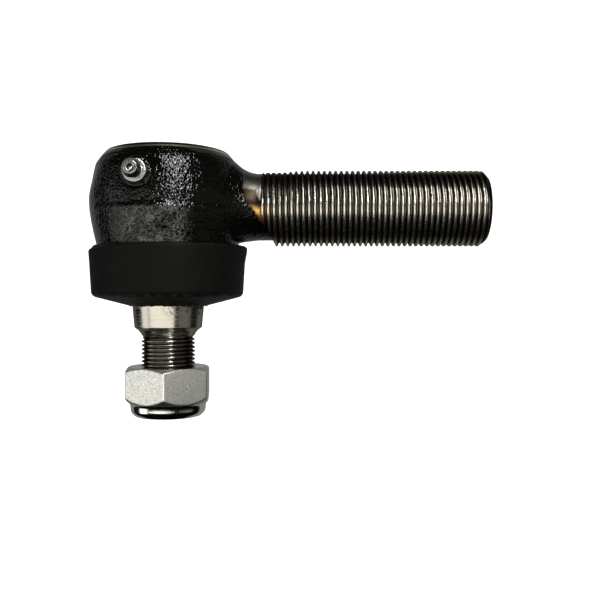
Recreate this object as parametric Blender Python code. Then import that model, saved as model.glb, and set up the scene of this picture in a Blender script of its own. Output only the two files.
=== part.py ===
"""Tie rod end: a ball stud in a forged housing with a threaded shank, modelled piece by piece.

Frame: the origin is the centre of the ball. +X runs along the threaded shank, -Z down the stud,
+Z towards the end cover and -Y towards the grease fitting. Lengths are in millimetres until
they are scaled to metres when a mesh is made.
"""

from math import acos, asin, cos, degrees, pi, radians, sin, sqrt

import bmesh
import bpy
from mathutils import Matrix

MM = 0.001
GAP = 0.3  # clearance kept between touching pieces

# Driving dimensions, in millimetres
SHANK_MAJOR_R = 28.575 / 2  # 1 1/8 inch - 12 thread
SHANK_PITCH = 25.4 / 12
SHANK_END_X = 119.9
SHANK_THREAD_X = 36.6
SHANK_END_CHAMFER = 2.0
NECK_R = 12.5

STUD_MAJOR_R = 10.0  # M20 x 1.5 thread
STUD_PITCH = 1.5
STUD_THREAD_Z = -48.4
STUD_END_Z = -77.2
BALL_R = 17.5
STUD_NECK_R = 10.5
TAPER_TOP_R = 13.62
TAPER_END_R = 12.93
TAPER_END_Z = -44.8

BORE_R = 21.6
COVER_BORE_R = 22.9
COVER_LEDGE_Z = 16.0
RIM_TOP_Z = 20.6
RIM_OUTER_R = 24.5
RIM_LIP_R = 20.2
RIM_LIP_UNDER_Z = 19.2
SKIRT_R = 26.2
SKIRT_END_Z = -25.3
MOUTH_R = 20.6

SEAT_SPHERE_R = BALL_R + GAP
SEAT_LOW_POLAR = 57.0  # degrees from straight down to the lower seat's edge
COVER_UNDER_Z = 17.2
COVER_TOP_Z = 18.9

BOOT_TOP_Z = -14.5
BOOT_OUTER_R = 29.4
BOOT_INNER_R = 26.6
BOOT_LIP_R = TAPER_TOP_R + GAP
BOOT_END_Z = -36.4

NUT_FLATS = 30.0
NUT_TOP_Z = -59.5
NUT_HEX_END_Z = -73.2
NUT_END_Z = -78.2
NUT_BORE_R = STUD_MAJOR_R + GAP
NUT_TURN = 4.1  # degrees that the front corner is turned towards +X
INSERT_OUTER_R = 12.5

FITTING_X = -5.8
FITTING_Z = 9.0
FITTING_FACE_Y = -29.2
FITTING_TIP_Y = -38.6
FITTING_FLATS = 7.94
FITTING_THREAD_R = 3.1
FITTING_CHAMBER_R = 1.75
CHECK_BALL_R = 1.4
VALVE_SEAT = 37.4  # distance from the joint's axis to the opening that the check ball closes

# Facets round a turned piece
ROUND = 36
THREAD_ROUND = 20
SMALL_ROUND = 16
RING_ROUND = 28


def clear_scene():
    for obj in list(bpy.data.objects):
        bpy.data.objects.remove(obj, do_unlink=True)


def material(name, colour, metallic, roughness):
    """A Principled material with the piece's colour, metalness and roughness."""
    mat = bpy.data.materials.new(name)
    mat.use_nodes = True
    shader = mat.node_tree.nodes["Principled BSDF"]
    shader.inputs["Base Color"].default_value = (*colour, 1.0)
    shader.inputs["Metallic"].default_value = metallic
    shader.inputs["Roughness"].default_value = roughness
    return mat


def solid(name, points, faces, mat=None):
    """A named object made from points in millimetres and faces that point outwards."""
    mesh = bpy.data.meshes.new(name)
    mesh.from_pydata([(x * MM, y * MM, z * MM) for x, y, z in points], [], faces)
    shape = bmesh.new()
    shape.from_mesh(mesh)
    bmesh.ops.recalc_face_normals(shape, faces=shape.faces)
    shape.to_mesh(mesh)
    shape.free()
    mesh.shade_smooth()
    mesh.set_sharp_from_angle(angle=radians(32))
    obj = bpy.data.objects.new(name, mesh)
    bpy.context.scene.collection.objects.link(obj)
    if mat:
        mesh.materials.append(mat)
    return obj


def turned(name, profile, mat=None, segments=ROUND):
    """A profile of (radius, height) points, closed on itself or ending on the axis, turned about Z."""
    points = []
    rows = []
    for radius, height in profile:
        if radius < 1e-6:
            rows.append([len(points)] * segments)
            points.append((0.0, 0.0, height))
            continue
        rows.append([len(points) + k for k in range(segments)])
        for k in range(segments):
            angle = 2 * pi * k / segments
            points.append((radius * cos(angle), radius * sin(angle), height))
    faces = []
    closed_on_axis = profile[0][0] < 1e-6
    count = len(rows) - 1 if closed_on_axis else len(rows)
    for n in range(count):
        low, high = rows[n], rows[(n + 1) % len(rows)]
        for k in range(segments):
            after = (k + 1) % segments
            corners = [low[k], low[after], high[after], high[k]]
            face = list(dict.fromkeys(corners))
            if len(face) > 2:
                faces.append(face)
    return solid(name, points, faces, mat)


def arc(centre_z, radius, start, end, steps):
    """Profile points along a circle centred on the axis, by its angle in degrees from straight up."""
    points = []
    for k in range(steps + 1):
        angle = radians(start + (end - start) * k / steps)
        points.append((radius * sin(angle), centre_z + radius * cos(angle)))
    return points


def thread_columns(start, end, major_r, pitch, limit, segments):
    """Heights and radii of a right-hand helical thread, one column of points for each angle.

    Each turn has a root and a crest. The radius never passes limit(height).
    A point below the start or above the end is None, so every column ends on a level ring.
    """
    root_r = major_r - 0.6134 * pitch
    shape = [(0.0, root_r), (0.5, major_r)]
    turns = int((end - start) / pitch) + 3
    columns = []
    for k in range(segments):
        column = []
        for turn in range(turns):
            for along, radius in shape:
                height = start + (turn - 1 + k / segments + along) * pitch
                inside = start + 0.05 < height < end - 0.05
                column.append((min(radius, limit(height)), height) if inside else None)
        columns.append(column)
    return columns, len(shape)


def threaded(name, lead, tail, major_r, pitch, limit, mat=None, segments=THREAD_ROUND):
    """A solid turned about Z with a right-hand thread between its lead and tail profiles.

    Lead and tail are (radius, height) points that rise along Z; both end on the axis.
    """
    start, end = lead[-1][1], tail[0][1]
    columns, per_turn = thread_columns(start, end, major_r, pitch, limit, segments)
    points = []
    rows = []
    for radius, height in lead + tail:
        ring = 1 if radius < 1e-6 else segments
        rows.append([len(points) + k % ring for k in range(segments)])
        for k in range(ring):
            angle = 2 * pi * k / segments
            points.append((radius * cos(angle), radius * sin(angle), height))
    first, last = rows[: len(lead)], rows[len(lead) :]
    ids = []
    for k, column in enumerate(columns):
        angle = 2 * pi * k / segments
        line = []
        for n, place in enumerate(column):
            if place is None:
                line.append(first[-1][k] if n < len(column) / 2 else last[0][k])
                continue
            line.append(len(points))
            points.append((place[0] * cos(angle), place[0] * sin(angle), place[1]))
        ids.append(line)
    faces = []
    for k in range(segments):
        after = (k + 1) % segments
        here = [row[k] for row in first] + ids[k] + [last[0][k]] * per_turn + [row[k] for row in last]
        shift = per_turn if after == 0 else 0
        ahead = [row[after] for row in first] + ids[after][shift:]
        ahead += [last[0][after]] * (per_turn + shift) + [row[after] for row in last]
        for n in range(len(here) - 1):
            for corners in ((here[n], ahead[n], ahead[n + 1]), (here[n], ahead[n + 1], here[n + 1])):
                if len(set(corners)) == 3:
                    faces.append(corners)
    return solid(name, points, faces, mat)


def hexagon(name, flats, low, high, turn=0.0, mat=None):
    """A hexagonal prism along Z with one corner at `turn` degrees from +X."""
    corner_r = flats / sqrt(3)
    points = []
    for height in (low, high):
        for k in range(6):
            angle = radians(turn + 60 * k)
            points.append((corner_r * cos(angle), corner_r * sin(angle), height))
    faces = [list(range(6))[::-1], list(range(6, 12))]
    faces += [[k, (k + 1) % 6, 6 + (k + 1) % 6, 6 + k] for k in range(6)]
    return solid(name, points, faces, mat)


def coil(name, radius, wire_r, low, high, turns, mat, per_turn=12):
    """A round-wire compression spring along Z, as a bevelled curve with filled caps."""
    curve = bpy.data.curves.new(name, "CURVE")
    curve.dimensions = "3D"
    curve.bevel_depth = wire_r * MM
    curve.bevel_resolution = 1
    curve.use_fill_caps = True
    count = int(turns * per_turn) + 1
    spline = curve.splines.new("POLY")
    spline.points.add(count - 1)
    rise = (high - low - 2 * wire_r) / (count - 1)
    for k in range(count):
        angle = 2 * pi * k / per_turn
        height = low + wire_r + rise * k
        place = (radius * cos(angle) * MM, radius * sin(angle) * MM, height * MM, 1.0)
        spline.points[k].co = place
    curve.materials.append(mat)
    obj = bpy.data.objects.new(name, curve)
    bpy.context.scene.collection.objects.link(obj)
    return obj


def reshape(obj, operation, other):
    """Joins another shape to obj, cuts it away, or keeps what both share; the other is a guide."""
    change = obj.modifiers.new(operation.title(), "BOOLEAN")
    change.operation = operation
    change.solver = "EXACT"
    change.object = other
    other.hide_render = True
    other.display_type = "WIRE"
    return obj


def laid_along_minus_y(obj):
    """Turns a shape made along +Z so that it points along -Y, on the grease fitting's axis."""
    turn = Matrix.Rotation(radians(90), 4, "X")
    place = Matrix.Translation((FITTING_X * MM, 0.0, FITTING_Z * MM))
    obj.data.transform(place @ turn)
    return obj


def socket_outline():
    """The forging's outer half section, from the centre of its top down to its skirt."""
    return [
        (0.0, RIM_TOP_Z),
        (RIM_OUTER_R - 0.5, RIM_TOP_Z),
        (RIM_OUTER_R, RIM_TOP_Z - 0.5),
        (RIM_OUTER_R, 18.2),
        (25.7, 17.4),
        (26.8, 15.0),
        (27.9, 9.6),
        (28.6, 6.3),
        (29.1, 2.4),
        (29.0, -1.5),
        (28.3, -6.0),
        (26.8, -12.5),
        (SKIRT_R, -15.0),
        (SKIRT_R, SKIRT_END_Z + 2.5),
        (SKIRT_R - 2.5, SKIRT_END_Z),
        (0.0, SKIRT_END_Z),
    ]


def socket_hollow():
    """The half section of what is cut out of the forging: cover seat, bore and tilting stud's room."""
    return [
        (0.0, RIM_TOP_Z + 3.0),
        (RIM_LIP_R, RIM_TOP_Z + 3.0),
        (RIM_LIP_R, RIM_LIP_UNDER_Z),
        (COVER_BORE_R, RIM_LIP_UNDER_Z),
        (COVER_BORE_R, COVER_LEDGE_Z),
        (BORE_R, COVER_LEDGE_Z),
        (BORE_R, -5.74),
        (16.2, -10.19),
        (16.2, -11.5),
        (MOUTH_R, SKIRT_END_Z),
        (MOUTH_R + 1.0, SKIRT_END_Z - 3.0),
        (0.0, SKIRT_END_Z - 3.0),
    ]


def shank_limit(place):
    """The greatest radius along the shank: a tapered thread start and a chamfered end."""
    start = NECK_R + 0.3 + (place - SHANK_THREAD_X) * (SHANK_MAJOR_R - NECK_R - 0.3) / 2.6
    return min(start, SHANK_MAJOR_R + SHANK_END_X - SHANK_END_CHAMFER - place)


def build_shank():
    """The neck's flare out of the socket, its plain run and the threaded shank, laid along +X."""
    flare_height, flare_length = 4.0, 8.0
    neck = [(0.0, 15.0), (14.3, 15.0)]
    for k in range(6):
        angle = radians(55 - 11 * k)
        radius = NECK_R + flare_height * (1 - cos(angle))
        neck.append((radius, 34.5 - flare_length * sin(angle)))
    neck.append((NECK_R, SHANK_THREAD_X))
    end_r = SHANK_MAJOR_R - SHANK_END_CHAMFER
    tail = [(end_r, SHANK_END_X), (0.0, SHANK_END_X)]
    shank = threaded("shank", neck, tail, SHANK_MAJOR_R, SHANK_PITCH, shank_limit)
    shank.data.transform(Matrix.Rotation(radians(90), 4, "Y"))
    return shank


def build_housing(paint):
    """The forging: socket, neck and threaded shank in one piece, hollowed for the joint."""
    housing = turned("housing", socket_outline(), paint)
    hollow = turned("socket_hollow", socket_hollow())
    boss = turned("fitting_boss", [(0, 20), (5.6, 20), (5.6, 28.2), (4.9, 28.9), (0, 28.9)])
    hole_r = FITTING_THREAD_R + GAP
    hole = turned("fitting_hole", [(0, 15), (hole_r, 15), (hole_r, 30), (0, 30)], segments=SMALL_ROUND)
    reshape(housing, "UNION", build_shank())
    reshape(housing, "UNION", laid_along_minus_y(boss))
    reshape(housing, "DIFFERENCE", hollow)
    reshape(housing, "DIFFERENCE", laid_along_minus_y(hole))
    return housing


def build_end_cover(steel):
    """The pressed disc that closes the socket, held under the rolled rim."""
    edge = COVER_BORE_R - GAP
    profile = [
        (0.0, COVER_TOP_Z - 0.7),
        (12.5, COVER_TOP_Z - 0.7),
        (14.0, COVER_TOP_Z),
        (edge, COVER_TOP_Z),
        (edge, COVER_UNDER_Z),
        (0.0, COVER_UNDER_Z),
    ]
    return turned("end_cover", profile, steel)


def build_cover_seal(rubber):
    """The flat sealing ring between the cover and the ledge it is rolled down on."""
    outer = COVER_BORE_R - GAP
    low = COVER_LEDGE_Z + GAP
    high = COVER_UNDER_Z - GAP
    return turned("cover_seal_ring", [(outer, high), (outer, low), (BORE_R, low), (BORE_R, high)], rubber)


def build_lower_seat(bearing):
    """The bearing ring under the ball. Its cone rests on the socket's cone."""
    outer = BORE_R - GAP
    cup = arc(0.0, SEAT_SPHERE_R, 85, 180 - SEAT_LOW_POLAR, 6)
    top = cup[0][1]
    profile = [(outer, top), (outer, -5.6), (15.6, -10.3), *cup[::-1]]
    return turned("lower_ball_seat", profile, bearing)


def build_upper_seat(bearing):
    """The sprung pressure cup above the ball, with a hub that centres the spring."""
    outer = BORE_R - GAP
    cup = arc(0.0, SEAT_SPHERE_R, 37, 82, 7)
    profile = [*cup, (outer, cup[-1][1]), (outer, 9.0), (17.0, 9.0), (17.0, 13.0), (15.8, cup[0][1])]
    return turned("upper_ball_seat", profile[::-1], bearing)


def build_preload_spring(steel):
    """The coil spring that keeps the pressure cup on the ball."""
    return coil("preload_spring", 19.2, 0.8, 9.0 + GAP, COVER_UNDER_Z - GAP, 3, steel)


def stud_outline():
    """The stud's half section from the thread's run-out up: taper, shoulder, neck and ball."""
    flat_z = 15.5
    flat_angle = degrees(acos(flat_z / BALL_R))
    neck_angle = 180 - degrees(asin(STUD_NECK_R / BALL_R))
    return [
        (9.7, STUD_THREAD_Z),
        (10.35, -47.1),
        (11.35, -45.95),
        (TAPER_END_R, TAPER_END_Z),
        (TAPER_TOP_R, -34.3),
        (13.0, -33.6),
        (11.2, -32.2),
        (STUD_NECK_R, -30.5),
        *arc(0.0, BALL_R, neck_angle, flat_angle, 14),
        (0.0, flat_z),
    ]


def stud_limit(height):
    """The greatest radius down the stud's thread: a chamfered end and a fading run-out."""
    end_chamfer = STUD_MAJOR_R - 1.3 + (height - STUD_END_Z)
    return min(end_chamfer, 9.5 + (STUD_THREAD_Z - height) * 0.4)


def build_ball_stud(steel):
    """The forged stud: ball, neck, taper and thread in one piece."""
    lead = [(0.0, STUD_END_Z), (STUD_MAJOR_R - 1.3, STUD_END_Z)]
    tail = stud_outline()
    return threaded("ball_stud", lead, tail, STUD_MAJOR_R, STUD_PITCH, stud_limit, steel)


def build_dust_boot(rubber):
    """The rubber cup that grips the socket's skirt and closes with a shallow cone on the stud."""
    groove_r = BOOT_INNER_R + 1.3
    profile = [
        (BOOT_INNER_R, BOOT_TOP_Z - 0.2),
        (27.6, BOOT_TOP_Z),
        (28.7, BOOT_TOP_Z - 0.35),
        (29.25, BOOT_TOP_Z - 1.0),
        (BOOT_OUTER_R, BOOT_TOP_Z - 1.8),
        (28.35, -31.2),
        (28.0, -32.1),
        (27.2, -32.75),
        (BOOT_LIP_R + 0.3, BOOT_END_Z),
        (BOOT_LIP_R, BOOT_END_Z + 0.3),
        (BOOT_LIP_R, -35.7),
        (BOOT_LIP_R + 1.8, -35.7),
        (BOOT_LIP_R + 1.8, -34.3),
        (BOOT_LIP_R, -34.3),
        (BOOT_LIP_R, -33.4),
        (24.9, -30.6),
        (BOOT_INNER_R, -29.0),
        (BOOT_INNER_R, -19.6),
        (groove_r, -19.6),
        (groove_r, -17.0),
        (BOOT_INNER_R, -17.0),
    ]
    return turned("dust_boot", profile, rubber)


def build_boot_rings(steel):
    """The two steel rings in the boot's grooves: one grips the skirt, one the stud."""
    outer = BOOT_INNER_R + 1.0
    skirt = SKIRT_R + GAP
    turned("boot_retaining_ring", [(outer, -17.3), (outer, -19.3), (skirt, -19.3), (skirt, -17.3)], steel)
    lip, far = BOOT_LIP_R + 0.2, BOOT_LIP_R + 1.5
    profile = [(far, -34.6), (far, -35.4), (lip, -35.4), (lip, -34.6)]
    return turned("boot_lip_ring", profile, steel, RING_ROUND)


def build_lock_nut(zinc):
    """The hexagon nut with a round collar that holds its nylon insert."""
    corner_r = NUT_FLATS / sqrt(3)
    turn = -90 + NUT_TURN
    nut = hexagon("lock_nut", NUT_FLATS, NUT_END_Z - 2, NUT_TOP_Z + 2, turn, zinc)
    blank_profile = [
        (0.0, NUT_TOP_Z),
        (14.4, NUT_TOP_Z),
        (corner_r + 0.1, NUT_TOP_Z - 1.7),
        (corner_r + 0.1, NUT_HEX_END_Z + 2.4),
        (14.0, NUT_HEX_END_Z),
        (14.0, -76.0),
        (13.5, -77.3),
        (12.5, NUT_END_Z),
        (0.0, NUT_END_Z),
    ]
    blank = turned("nut_blank", blank_profile)
    recess_r = INSERT_OUTER_R + GAP
    hole_profile = [
        (0.0, NUT_TOP_Z + 1),
        (NUT_BORE_R + 2.2, NUT_TOP_Z + 1),
        (NUT_BORE_R, NUT_TOP_Z - 1.2),
        (NUT_BORE_R, -73.7),
        (recess_r, -73.7),
        (recess_r, -77.4),
        (11.6, -77.4),
        (11.6, NUT_END_Z - 1),
        (0.0, NUT_END_Z - 1),
    ]
    reshape(nut, "INTERSECT", blank)
    return reshape(nut, "DIFFERENCE", turned("nut_hole", hole_profile))


def build_nylon_insert(nylon):
    """The locking ring in the nut's collar."""
    profile = [
        (INSERT_OUTER_R, -74.0),
        (INSERT_OUTER_R, -77.1),
        (NUT_BORE_R, -77.1),
        (NUT_BORE_R, -74.0),
    ]
    return turned("nylon_insert", profile, nylon, RING_ROUND)


def build_fitting_body(zinc):
    """The grease nipple: threaded shank, hexagon and ball-shaped head round a valve chamber."""
    profile = [
        (0.0, 22.6),
        (FITTING_THREAD_R - 0.3, 22.6),
        (FITTING_THREAD_R, 23.0),
        (FITTING_THREAD_R, -FITTING_FACE_Y + 0.5),
        (2.4, -FITTING_FACE_Y + 3.2),
        (2.3, 34.2),
        (3.2, 35.7),
        (3.25, 36.6),
        (2.4, -FITTING_TIP_Y),
        (0.0, -FITTING_TIP_Y),
    ]
    fitting = turned("grease_fitting_body", profile[::-1], zinc, SMALL_ROUND)
    face = -FITTING_FACE_Y
    nut = hexagon("fitting_hexagon", FITTING_FLATS, face, face + 3.4, 30)
    chamfer_profile = [(0, face), (4.7, face), (4.7, face + 2.7), (4.0, face + 3.4), (0, face + 3.4)]
    reshape(nut, "INTERSECT", turned("fitting_chamfer", chamfer_profile[::-1]))
    chamber_profile = [
        (0.0, 21.0),
        (1.1, 21.0),
        (1.1, 24.4),
        (FITTING_CHAMBER_R, 24.4),
        (FITTING_CHAMBER_R, 36.7),
        (1.0, VALVE_SEAT),
        (1.0, 40.0),
        (0.0, 40.0),
    ]
    chamber = turned("fitting_chamber", chamber_profile[::-1], segments=SMALL_ROUND)
    for guide in (nut, chamber):
        laid_along_minus_y(guide)
    laid_along_minus_y(bpy.data.objects["fitting_chamfer"])
    laid_along_minus_y(fitting)
    reshape(fitting, "UNION", nut)
    return reshape(fitting, "DIFFERENCE", chamber)


def build_fitting_valve(steel, spring_steel):
    """The check ball behind the nipple's opening, and the small spring behind it."""
    centre = VALVE_SEAT - sqrt(CHECK_BALL_R**2 - 1.0) - GAP
    ball = turned("grease_check_ball", arc(centre, CHECK_BALL_R, 0, 180, 8), steel, 16)
    laid_along_minus_y(ball)
    low, high = 24.4 + GAP, centre - CHECK_BALL_R - GAP
    spring = coil("grease_check_spring", 1.2, 0.22, low, high, 6, spring_steel, per_turn=8)
    laid_along_minus_y(spring)
    return ball, spring


def main():
    clear_scene()
    paint = material("forging_paint", (0.012, 0.012, 0.011), 0.0, 0.28)
    cover_steel = material("cover_steel", (0.30, 0.29, 0.27), 1.0, 0.4)
    seal_rubber = material("seal_rubber", (0.03, 0.03, 0.03), 0.0, 0.7)
    bearing = material("bearing_polymer", (0.72, 0.70, 0.62), 0.0, 0.45)
    spring_steel = material("spring_steel", (0.25, 0.25, 0.26), 1.0, 0.35)
    stud_steel = material("stud_steel", (0.55, 0.54, 0.52), 1.0, 0.3)
    boot_rubber = material("boot_rubber", (0.014, 0.014, 0.014), 0.0, 0.6)
    nut_zinc = material("nut_zinc", (0.62, 0.62, 0.58), 1.0, 0.32)
    nylon = material("insert_nylon", (0.75, 0.74, 0.68), 0.0, 0.4)
    fitting_zinc = material("fitting_zinc", (0.58, 0.56, 0.50), 1.0, 0.35)
    build_housing(paint)
    build_end_cover(cover_steel)
    build_cover_seal(seal_rubber)
    build_lower_seat(bearing)
    build_upper_seat(bearing)
    build_preload_spring(spring_steel)
    build_ball_stud(stud_steel)
    build_dust_boot(boot_rubber)
    build_boot_rings(spring_steel)
    build_lock_nut(nut_zinc)
    build_nylon_insert(nylon)
    build_fitting_body(fitting_zinc)
    build_fitting_valve(stud_steel, spring_steel)


main()
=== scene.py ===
"""Tie rod end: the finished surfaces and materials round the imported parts.

Laid out as an add-on and run as a script. Lengths are in millimetres until a mesh is made, and
the sizes that a user can change are in metres. The origin is the ball's centre, +X runs along
the shank, -Z down the stud, and the grease fitting points along -Y.
"""

import math

import bmesh
import bpy
import numpy as np
from bpy.props import FloatProperty, FloatVectorProperty, PointerProperty
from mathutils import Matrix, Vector


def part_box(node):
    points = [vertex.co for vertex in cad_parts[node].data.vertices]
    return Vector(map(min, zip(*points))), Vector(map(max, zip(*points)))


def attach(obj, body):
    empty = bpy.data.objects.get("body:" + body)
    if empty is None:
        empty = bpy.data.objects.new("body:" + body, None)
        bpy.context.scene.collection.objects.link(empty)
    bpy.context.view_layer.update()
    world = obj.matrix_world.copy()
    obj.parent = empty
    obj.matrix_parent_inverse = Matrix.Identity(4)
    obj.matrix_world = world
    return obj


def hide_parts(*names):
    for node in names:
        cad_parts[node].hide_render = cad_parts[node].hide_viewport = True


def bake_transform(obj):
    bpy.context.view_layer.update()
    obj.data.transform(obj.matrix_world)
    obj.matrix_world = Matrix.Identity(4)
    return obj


bl_info = {
    "name": "Tie Rod End",
    "version": (1, 0, 0),
    "blender": (4, 5, 0),
    "location": "View3D > Sidebar > Tie Rod End",
    "description": "Builds the finished surfaces of a tie rod end round its packed frame",
    "category": "Object",
}

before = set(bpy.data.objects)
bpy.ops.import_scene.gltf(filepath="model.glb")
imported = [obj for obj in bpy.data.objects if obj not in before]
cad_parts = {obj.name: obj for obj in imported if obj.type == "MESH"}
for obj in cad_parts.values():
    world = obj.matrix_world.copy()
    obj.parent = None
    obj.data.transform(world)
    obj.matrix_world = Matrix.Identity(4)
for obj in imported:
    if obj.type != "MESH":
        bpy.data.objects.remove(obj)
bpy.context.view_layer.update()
MM = 0.001
TURN = 2 * math.pi
SHARP_ANGLE = math.radians(38)
MERGE_DISTANCE = 2e-6
COUNT_SLACK = 1e-5


# ---------------------------------------------------------------- sizes and colours


class TieRodSizes(bpy.types.PropertyGroup):
    """Sizes of the visible pieces"""

    shank_radius: FloatProperty(
        name="Shank Radius", description="Crest radius of the shank's thread",
        default=0.0142875, unit="LENGTH", precision=5,
    )
    shank_pitch: FloatProperty(
        name="Shank Pitch", description="Rise of the shank's thread in a turn",
        default=0.0254 / 12, unit="LENGTH", precision=5,
    )
    shank_end: FloatProperty(
        name="Shank End", description="Distance from the ball's centre to the shank's end face",
        default=0.11985, unit="LENGTH", precision=5,
    )
    stud_radius: FloatProperty(
        name="Stud Radius", description="Crest radius of the stud's thread",
        default=0.010, unit="LENGTH", precision=5,
    )
    stud_pitch: FloatProperty(
        name="Stud Pitch", description="Rise of the stud's thread in a turn",
        default=0.0015, unit="LENGTH", precision=5,
    )
    nut_flats: FloatProperty(
        name="Nut Flats", description="Width of the nut across its flats",
        default=0.030, unit="LENGTH", precision=5,
    )
    nut_turn: FloatProperty(
        name="Nut Turn", description="Angle from the front to the nut's nearest corner",
        default=math.radians(4.1), unit="ROTATION",
    )
    rim_radius: FloatProperty(
        name="Rim Radius", description="Outer radius of the rim's top face",
        default=0.0228, unit="LENGTH", precision=5,
    )
    neck_radius: FloatProperty(
        name="Neck Radius", description="Radius of the neck behind the thread",
        default=0.01255, unit="LENGTH", precision=5,
    )


class TieRodColours(bpy.types.PropertyGroup):
    """Base colours of the finishes"""

    paint: FloatVectorProperty(
        name="Paint", description="Black paint",
        subtype="COLOR", default=(0.0016, 0.0016, 0.0013),
    )
    forged: FloatVectorProperty(
        name="Forged Skin", description="Worn skin under the paint",
        subtype="COLOR", default=(0.075, 0.078, 0.066),
    )
    steel: FloatVectorProperty(
        name="Steel", description="Turned steel",
        subtype="COLOR", default=(0.50, 0.47, 0.41),
    )
    oil: FloatVectorProperty(
        name="Oil", description="Oil held in the thread's roots",
        subtype="COLOR", default=(0.035, 0.031, 0.026),
    )
    straw: FloatVectorProperty(
        name="Heat Tint", description="Straw colour left by heat at the neck",
        subtype="COLOR", default=(0.85, 0.50, 0.17),
    )
    rubber: FloatVectorProperty(
        name="Rubber", description="Boot rubber",
        subtype="COLOR", default=(0.0022, 0.0022, 0.002),
    )
    zinc: FloatVectorProperty(
        name="Zinc", description="Zinc plate",
        subtype="COLOR", default=(0.82, 0.82, 0.77),
    )
    nylon: FloatVectorProperty(
        name="Nylon", description="Natural nylon",
        subtype="COLOR", default=(0.72, 0.70, 0.62),
    )


def size(name):
    """One of the scene's sizes, in millimetres."""
    return getattr(bpy.context.scene.tie_rod_sizes, name) / MM


def tint(name):
    """One of the scene's colours."""
    return tuple(getattr(bpy.context.scene.tie_rod_colours, name))


def shade(colour, factor):
    """The colour made lighter or darker by a factor."""
    return tuple(channel * factor for channel in colour)


# ---------------------------------------------------------------- surfaces


def rounded(corners, steps=7):
    """A section through (radius, height, fillet) corners; each fillet is a quadratic curve that
    leaves the corner's two sides at the fillet's distance from it."""
    places = np.array([corner[:2] for corner in corners], float)
    out = []
    for n, (here, corner) in enumerate(zip(places, corners)):
        before, after = places[n - 1], places[(n + 1) % len(places)]
        reach = corner[2]
        if reach <= 0:
            out.append(here[None])
            continue
        sides = [before - here, after - here]
        lengths = [np.linalg.norm(side) for side in sides]
        reach = min(reach, 0.49 * min(lengths))
        start, end = (here + side / length * reach for side, length in zip(sides, lengths))
        t = np.linspace(0, 1, steps)[:, None]
        out.append((1 - t) ** 2 * start + 2 * t * (1 - t) * here + t**2 * end)
    return np.vstack(out)


def refined(section, step, closed=True):
    """The same section with points added along its straight runs, at most step apart."""
    ends = np.roll(section, -1, axis=0) if closed else section[1:]
    starts = section if closed else section[:-1]
    runs = []
    for start, end in zip(starts, ends):
        count = max(1, int(math.ceil(np.linalg.norm(end - start) / step - COUNT_SLACK)))
        t = np.arange(count)[:, None] / count
        runs.append(start * (1 - t) + end * t)
    return np.vstack(runs if closed else [*runs, section[-1:]])


def lattice_noise(points, cell, seed):
    """Smooth noise from -1 to 1: a hashed value at each corner of a cubic lattice of this cell
    size, blended between corners with a smoothstep along each axis."""
    place = points / cell
    corner = np.floor(place).astype(np.int64)
    t = place - corner
    t = t * t * (3 - 2 * t)
    total = np.zeros(points.shape[:-1])
    for dx, dy, dz in np.ndindex(2, 2, 2):
        x, y, z = (corner[..., axis] + shift for axis, shift in enumerate((dx, dy, dz)))
        mixed = (x * 73856093) ^ (y * 19349663) ^ (z * 83492791) ^ (seed * 2654435761)
        mixed = (mixed ^ (mixed >> 13)) * 1274126177
        value = ((mixed ^ (mixed >> 16)) & 65535) / 32767.5 - 1
        weight = np.where(dx, t[..., 0], 1 - t[..., 0])
        weight = weight * np.where(dy, t[..., 1], 1 - t[..., 1])
        total += value * weight * np.where(dz, t[..., 2], 1 - t[..., 2])
    return total


def smoothstep(x, low, high):
    """0 below low and 1 above high, with a cubic ease between."""
    t = np.clip((x - low) / (high - low), 0, 1)
    return t * t * (3 - 2 * t)


def soft_min(a, b, width):
    """The lesser of a and b, rounded off where they come within width of each other."""
    t = np.clip(0.5 + 0.5 * (b - a) / width, 0, 1)
    return b * (1 - t) + a * t - width * t * (1 - t)


def angles(columns, first=0.0):
    """Evenly spaced angles once round, from a first angle."""
    return first + TURN * np.arange(columns) / columns


def turned(section, columns):
    """Grid of a (radius, height) section turned about Z: rows run along it, columns round it."""
    theta = angles(columns)[None, :]
    radius, height = section[:, :1], section[:, 1:] + 0 * theta
    return np.stack([radius * np.cos(theta), radius * np.sin(theta), height], axis=-1)


def hexagonal(section, flats, corner, columns, width):
    """A turned grid whose radius is held inside a hexagon of this width across its flats. The
    hexagon has a corner at the given angle, and its edges are softened over a width."""
    theta = angles(columns, corner)
    away = np.mod(theta - corner, TURN / 6) - TURN / 12
    side = flats / 2 / np.cos(away)
    side = np.minimum(side, flats / math.sqrt(3) - 0.12)
    radius = soft_min(section[:, :1], side[None, :], width)
    height = section[:, 1:] + 0 * radius
    return np.stack([radius * np.cos(theta), radius * np.sin(theta), height], axis=-1)


def along_x(points):
    """Lays a grid made along +Z along +X, with its right-hand threads kept right-hand."""
    return np.stack([points[..., 2], points[..., 1], -points[..., 0]], axis=-1)


def along_fitting(points):
    """Lays a grid made along +Z along -Y, on the grease fitting's axis."""
    low, high = (np.array(corner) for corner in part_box("grease_fitting_body"))
    centre = (low + high) / 2 / MM
    return np.stack([points[..., 0] + centre[0], -points[..., 2], points[..., 1] + centre[2]], axis=-1)


# ---------------------------------------------------------------- meshes


def shell_faces(shells):
    """Points and quads of several grids, each with a flag that says whether its section closes
    on itself. Columns always wrap round."""
    points, quads, count = [], [], 0
    for grid, closed in shells:
        rows, columns = grid.shape[:2]
        index = np.arange(rows * columns).reshape(rows, columns) + count
        low = index if closed else index[:-1]
        high = np.roll(index, -1, axis=0) if closed else index[1:]
        around = np.stack([low, np.roll(low, -1, 1), np.roll(high, -1, 1), high], axis=-1)
        points.append(grid.reshape(-1, 3))
        quads.append(around.reshape(-1, 4))
        count += rows * columns
    return np.vstack(points), np.vstack(quads)


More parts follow.
